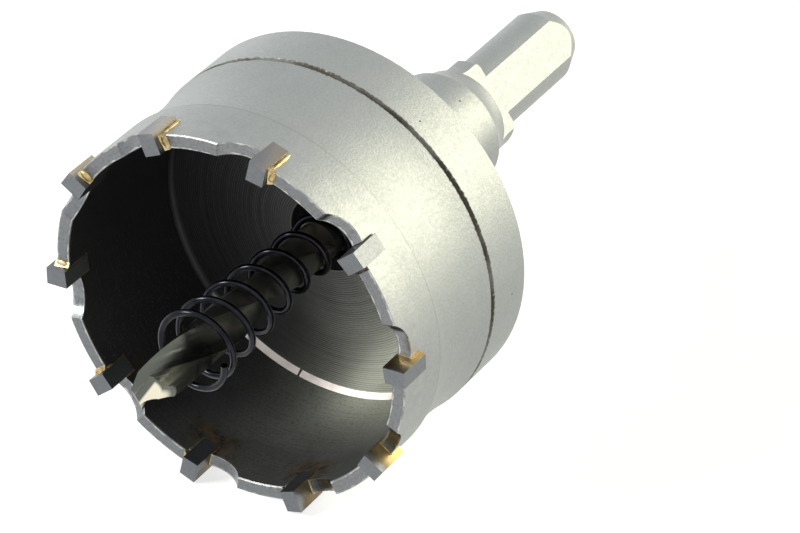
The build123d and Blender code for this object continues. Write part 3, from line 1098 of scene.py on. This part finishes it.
@dataclass
class CutterRing(Part):
    """The toothed ring: its wall, its rim with gullets, and its brazed tips."""

    places: SawPlaces
    outside: BlastedSteel = BlastedSteel()
    inside: DarkCup = DarkCup()
    heat: HeatStain = HeatStain()
    ground: GroundSteel = GroundSteel()
    seam: SeamShade = SeamShade()
    corner: CornerBraze = CornerBraze()
    braze: GoldBraze = GoldBraze()
    carbide: Carbide = Carbide()
    bare_carbide: Carbide = Carbide("bare_carbide", film_share=0.0)
    bare_tip: int = 10
    wall_edge: Step = Step(0.16, 0.08)
    land_inner: Step = Step(0.08, 0.16)
    land_outer: Step = Step(-0.08, -0.24)
    land_depth: Step = Step(5.1, 5.0)
    gullet_depth: Step = Step(0.2, 0.5)
    band: float = 9.0
    band_step: Step = Step(0.35, 0.1)
    band_share: float = 0.18
    inside_flatter: float = 0.6
    land_flatter: float = 0.7
    mark_relief: float = 0.2
    beads: Tuple[Bead, ...] = (
        Bead(1, (Lump(27.6, 1.55, -0.05, (0.9, 0.5, 0.4)),
                 Lump(28.5, 1.6, 0.05, (0.45, 0.45, 0.35)))),
        Bead(2, (Lump(27.9, 1.6, 0.0, (1.0, 0.55, 0.42)),)),
        Bead(3, (Lump(27.8, 1.6, 0.0, (1.05, 0.5, 0.4)), Lump(26.95, 1.4, 0.6, (0.3, 0.35, 0.6)))),
        Bead(4, (Lump(27.3, 1.5, 0.0, (0.5, 0.42, 0.36)),
                 Lump(26.9, 1.45, 0.8, (0.22, 0.3, 0.55)))),
        Bead(5, (Lump(27.3, 1.5, 0.05, (0.5, 0.42, 0.34)),
                 Lump(26.9, 1.4, 0.7, (0.22, 0.3, 0.6)))),
        Bead(6, (Lump(28.0, 1.65, 0.0, (1.0, 0.6, 0.45)), Lump(28.98, 1.5, 2.4, (0.22, 0.3, 2.4)))),
        Bead(7, (Lump(27.9, 1.7, 0.0, (1.1, 0.65, 0.5)), Lump(28.98, 1.5, 2.3, (0.24, 0.34, 2.2)))),
        Bead(8, (Lump(27.9, 1.7, 0.0, (1.1, 0.7, 0.5)), Lump(28.98, 1.55, 2.4, (0.24, 0.36, 2.3)))),
        Bead(9, (Lump(28.0, 1.65, 0.0, (1.0, 0.65, 0.5)),
                 Lump(28.98, 1.5, 2.3, (0.24, 0.32, 2.2)))),
    )

    def skin_of(self, sheet: ShaderSheet, inside: Signal, marks: Signal,
                seam: Signal) -> NodeSocket:
        """Colour of the wall, blasted outside and dark inside.

        Args:
            sheet: The material.
            inside: Share that is 1 inside the cup.
            marks: Height of the turning marks.
            seam: Share of painted shade in the seam.

        Returns:
            The colour.
        """
        dark = sheet.blend(self.heat.share_of(sheet), self.inside.colour_of(sheet, marks),
                           self.heat.colour_of(sheet))
        skin = sheet.blend(inside, self.outside.colour_of(sheet), dark)
        # Painted shade along the seam groove.
        skin = sheet.blend(seam, skin, self.seam.colour)
        band_edge = (sheet.along - self.band).size().rise(self.band_step) * (1.0 - inside)
        return sheet.blend(band_edge * self.band_share, skin, self.seam.colour)

    def wall_finish(self) -> Material:
        """Blasted outside, dark inside and ground rim, split by radius and depth.

        Returns:
            The ring's material.
        """
        sheet = ShaderSheet("ring_steel", self.places)
        bore, rim = self.places.bore_radius, self.places.rim_radius
        inside = sheet.radius.rise(self.wall_edge.at(bore))
        between = sheet.radius.rise(self.land_inner.at(bore))
        between = between * sheet.radius.rise(self.land_outer.at(rim))
        land = between * sheet.along.rise(self.land_depth)
        gullet = land * sheet.along.rise(self.gullet_depth)
        marks = self.inside.marks(sheet, CupFace.WALL)
        seam = self.seam.share_of(sheet)
        skin = self.skin_of(sheet, inside, marks, seam)
        colour = sheet.blend(land, skin, self.ground.colour_of(sheet))
        roughness = self.outside.roughness_of(sheet) + seam * self.seam.rougher
        roughness = roughness - inside * self.inside.smoother - land * self.ground.smoother
        roughness = roughness - gullet * self.ground.gullet_smoother
        metallic = 1.0 - inside * (1.0 - self.inside.metallic) - seam * self.seam.duller
        flat = inside * self.inside_flatter + land * self.land_flatter
        height = self.outside.height_of(sheet) * (1.0 - flat) + marks * inside * self.mark_relief
        return sheet.finish(colour, metallic, roughness, height, self.outside.relief)

    def build(self) -> None:
        """Dress the ring, its tips and its braze."""
        self.dress("cutter_ring", self.wall_finish())
        self.dress("corner_braze", self.corner.dress(self.places))
        carbide = self.carbide.dress(self.places)
        bare = self.bare_carbide.dress(self.places)
        braze = self.braze.dress(self.places)
        joint = BURNT_JOINT.dress(self.places)
        for number in range(1, TIP_COUNT + 1):
            is_bare = number == self.bare_tip
            self.dress(f"carbide_tip_{number:02d}", bare if is_bare else carbide)
            self.dress(f"tip_braze_{number:02d}", joint if is_bare else braze)
        for bead in self.beads:
            bead.build(self.places, braze)


@dataclass
class Head(Part):
    """The head: flange, hub, collar and shank, with the cup's floor on its front."""

    places: SawPlaces
    outside: BlastedSteel = BlastedSteel()
    inside: DarkCup = DarkCup()
    seam: SeamShade = SeamShade()
    floor_edge: Step = Step(0.2, 0.1)
    pocket_radius: Step = Step(7.0, 6.9)
    pocket_depth: Step = Step(4.3, 4.2)
    dark_flatter: float = 0.8
    mark_relief: float = 0.6

    def finish(self) -> Material:
        """Blasted outside, and a dark turned floor and spring pocket.

        Returns:
            The head's material.
        """
        sheet = ShaderSheet("head_steel", self.places)
        bore, depth = self.places.bore_radius, self.places.cup_depth
        floor = sheet.radius.rise(self.floor_edge.at(bore))
        floor = floor * sheet.along.rise(self.floor_edge.at(depth))
        pocket = sheet.radius.rise(self.pocket_radius)
        dark = floor.larger(pocket * sheet.along.rise(self.pocket_depth.at(depth)))
        marks = self.inside.marks(sheet, CupFace.FLOOR)
        seam = self.seam.share_of(sheet)
        # Painted shade along the seam groove.
        skin = sheet.blend(seam, self.outside.colour_of(sheet), self.seam.colour)
        colour = sheet.blend(dark, skin, self.inside.colour_of(sheet, marks))
        roughness = self.outside.roughness_of(sheet) - dark * self.inside.smoother
        roughness = roughness + seam * self.seam.rougher
        metallic = 1.0 - dark * (1.0 - self.inside.metallic) - seam * self.seam.duller
        height = self.outside.height_of(sheet) * (1.0 - dark * self.dark_flatter)
        height = height + marks * dark * self.mark_relief
        return sheet.finish(colour, metallic, roughness, height, self.outside.relief)

    def build(self) -> None:
        """Dress the head and its set screw."""
        self.dress("head", self.finish())
        self.dress("set_screw", SCREW_STEEL.dress(self.places))


@dataclass
class Pilot(Part):
    """The pilot drill and the spring that ejects the plug."""

    places: SawPlaces
    drill: DrillSteel = DrillSteel()
    wire: SpringWire = SpringWire()
    polished: PolishedCopy = PolishedCopy("pilot_drill", "drill_steel", "ground_drill")

    def build(self) -> None:
        """Polish the drill and dress the spring."""
        self.polished.build(self.drill.dress(self.places))
        self.dress("ejector_spring", self.wire.dress(self.places))


@dataclass(frozen=True)
class Lamp:
    """A soft rectangular lamp that faces the saw, in metres and watts."""

    name: str
    place: Point
    size: Pair
    power: float
    colour: Colour

    def hang(self, target: Vector) -> None:
        """Hang the lamp and turn it to a point.

        Args:
            target: The point that it faces, in metres.
        """
        data = bpy.data.lights.new(self.name, "AREA")
        data.shape = "RECTANGLE"
        data.size, data.size_y = self.size
        data.energy = self.power
        data.color = self.colour
        lamp = bpy.data.objects.new(self.name, data)
        bpy.context.scene.collection.objects.link(lamp)
        lamp.location = self.place
        lamp.rotation_euler = (target - lamp.location).to_track_quat("-Z", "Y").to_euler()


@dataclass
class Studio:
    """Camera, pale floor, white surroundings and soft lamps."""

    camera_place: Point = (284.6, -397.9, 329.3)
    camera_turn: Point = (57.4697, 4.0990, 32.3281)
    lens: float = 180.0
    sensor: float = 36.0
    nearest: float = 0.01
    floor_size: float = 12.0
    floor_colour: Colour = (0.78, 0.78, 0.78)
    near_glow: float = 0.68
    far_glow: float = 0.88
    glow_step: Step = Step(0.35, 0.9)
    ambient: float = 0.2
    lamps: Tuple[Lamp, ...] = (
        Lamp("key_lamp", (0.905, 0.98, 0.54), (1.05, 1.1), 16.5, (1.0, 0.93, 0.69)),
        Lamp("side_lamp", (-1.15, 1.08, 0.12), (0.7, 0.35), 1.0, (0.90, 0.95, 1.0)),
        Lamp("mouth_lamp", (-0.78, -0.72, 0.75), (0.35, 0.35), 8.0, (1.0, 0.99, 0.96)),
    )

    def set_camera(self) -> None:
        """Place the camera and make it the scene's."""
        data = bpy.data.cameras.new("camera")
        data.lens = self.lens
        data.sensor_width = self.sensor
        data.clip_start = self.nearest
        camera = bpy.data.objects.new("camera", data)
        bpy.context.scene.collection.objects.link(camera)
        camera.location = Vector(self.camera_place) * MM
        camera.rotation_euler = [radians(angle) for angle in self.camera_turn]
        bpy.context.scene.camera = camera

    def paper(self) -> Material:
        """Pale matt paper that is seen white, and a little brighter far from the saw.

        Returns:
            The floor's material.
        """
        sheet = NodeSheet(bpy.data.materials.new("studio_paper"))
        place = sheet.node("ShaderNodeTexCoord").outputs["Object"]
        away = sheet.value("ShaderNodeVectorMath", {"operation": "LENGTH"}, {0: place}, "Value")
        far = away.rise(self.glow_step, Ends.SHARP)
        near_share = self.near_glow / self.far_glow
        sheet.close("ShaderNodeBsdfPrincipled", "ShaderNodeOutputMaterial", {
            "Base Color": self.floor_colour, "Roughness": 1.0, "Specular IOR Level": 0.0,
            "Emission Color": far * (1.0 - near_share) + near_share,
            "Emission Strength": sheet.seen() * self.far_glow})
        return sheet.owner

    def lay_floor(self) -> None:
        """Lay the floor, which keeps the saw's shadow."""
        form = bmesh.new()
        bmesh.ops.create_grid(form, x_segments=1, y_segments=1, size=self.floor_size / 2)
        floor = Part.make(form, "studio_floor", self.paper())

    def light_world(self) -> None:
        """Surround the saw with white that is seen, and a softer level that lights it."""
        world = bpy.data.worlds.new("studio_world")
        bpy.context.scene.world = world
        sheet = NodeSheet(world)
        strength = sheet.seen() * (1.0 - self.ambient) + self.ambient
        sheet.close("ShaderNodeBackground", "ShaderNodeOutputWorld",
                    {"Color": (1.0, 1.0, 1.0), "Strength": strength})

    def build(self, target: Vector) -> None:
        """Set up the camera, the floor, the surroundings and the lamps.

        Args:
            target: The point that the lamps face, in metres.
        """
        bpy.context.scene.view_settings.view_transform = "Standard"
        self.set_camera()
        self.lay_floor()
        self.light_world()
        for lamp in self.lamps:
            lamp.hang(target)


def main() -> None:
    """Build the studio and dress the saw."""
    places = SawPlaces.read()
    LOG.info("%s", places)
    Studio().build(Vector((0.0, 0.0, places.axis_height * MM)))
    CutterRing(places).build()
    Head(places).build()
    Pilot(places).build()


if __name__ == "__main__":
    main()
